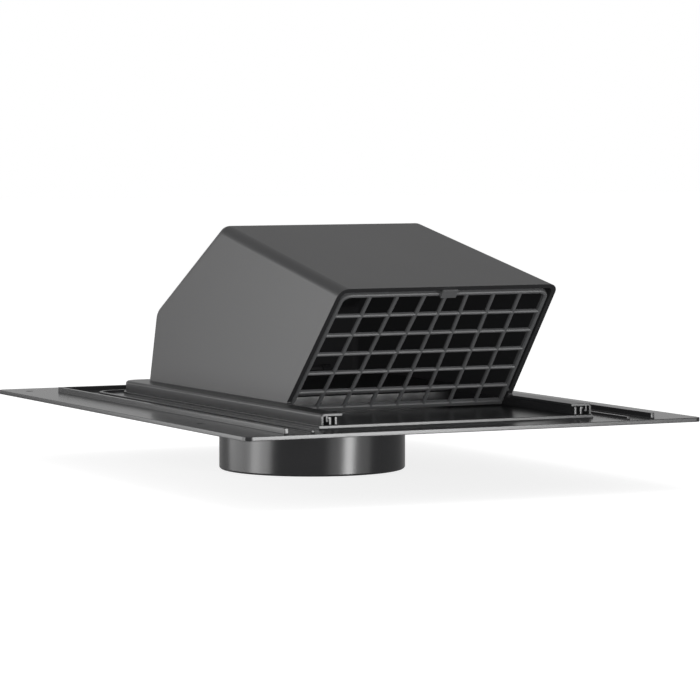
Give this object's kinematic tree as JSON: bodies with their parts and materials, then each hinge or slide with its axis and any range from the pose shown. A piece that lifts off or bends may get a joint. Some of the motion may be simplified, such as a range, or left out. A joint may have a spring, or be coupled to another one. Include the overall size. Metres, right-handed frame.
{
  "type": "roof vent",
  "caption": "Exhaust roof vent: flat flashing with a duct collar, a sloped hood with an overhanging mouth, a tilt-out grille and a backdraft damper.",
  "frame": {"origin": "on the duct collar's axis, at the underside of the flange that lies on the roof", "axes": "+Z away from the roof, +X to the right seen from the mouth, -Y down the roof slope, the way the mouth faces"},
  "size_m": [0.254, 0.3317, 0.1312],
  "materials": {
    "base": "satin moulded",
    "hood": "satin moulded",
    "grille": "satin moulded, a lighter dark grey than the hood",
    "damper": "satin moulded",
    "foam": "closed-cell foam",
    "pin": "drawn stainless rod"
  },
  "bodies": {
    "shell": {"base_flashing": "base", "hood": "hood", "damper_hinge_pin": "pin"},
    "grille": {"front_grille": "grille"},
    "damper": {"damper_flap": "damper", "damper_seal": "foam"}
  },
  "joints": [
    {"name": "damper_lift", "type": "hinge", "parent": "shell", "child": "damper", "pos_m": [0, 0.063, 0.0122], "axis": [-1, 0, 0], "range_deg": [0, 32]},
    {"name": "grille_tilt", "type": "hinge", "parent": "shell", "child": "grille", "pos_m": [0, -0.10522, 0.01282], "axis": [1, 0, 0], "range_deg": [0, 45]}
  ]
}
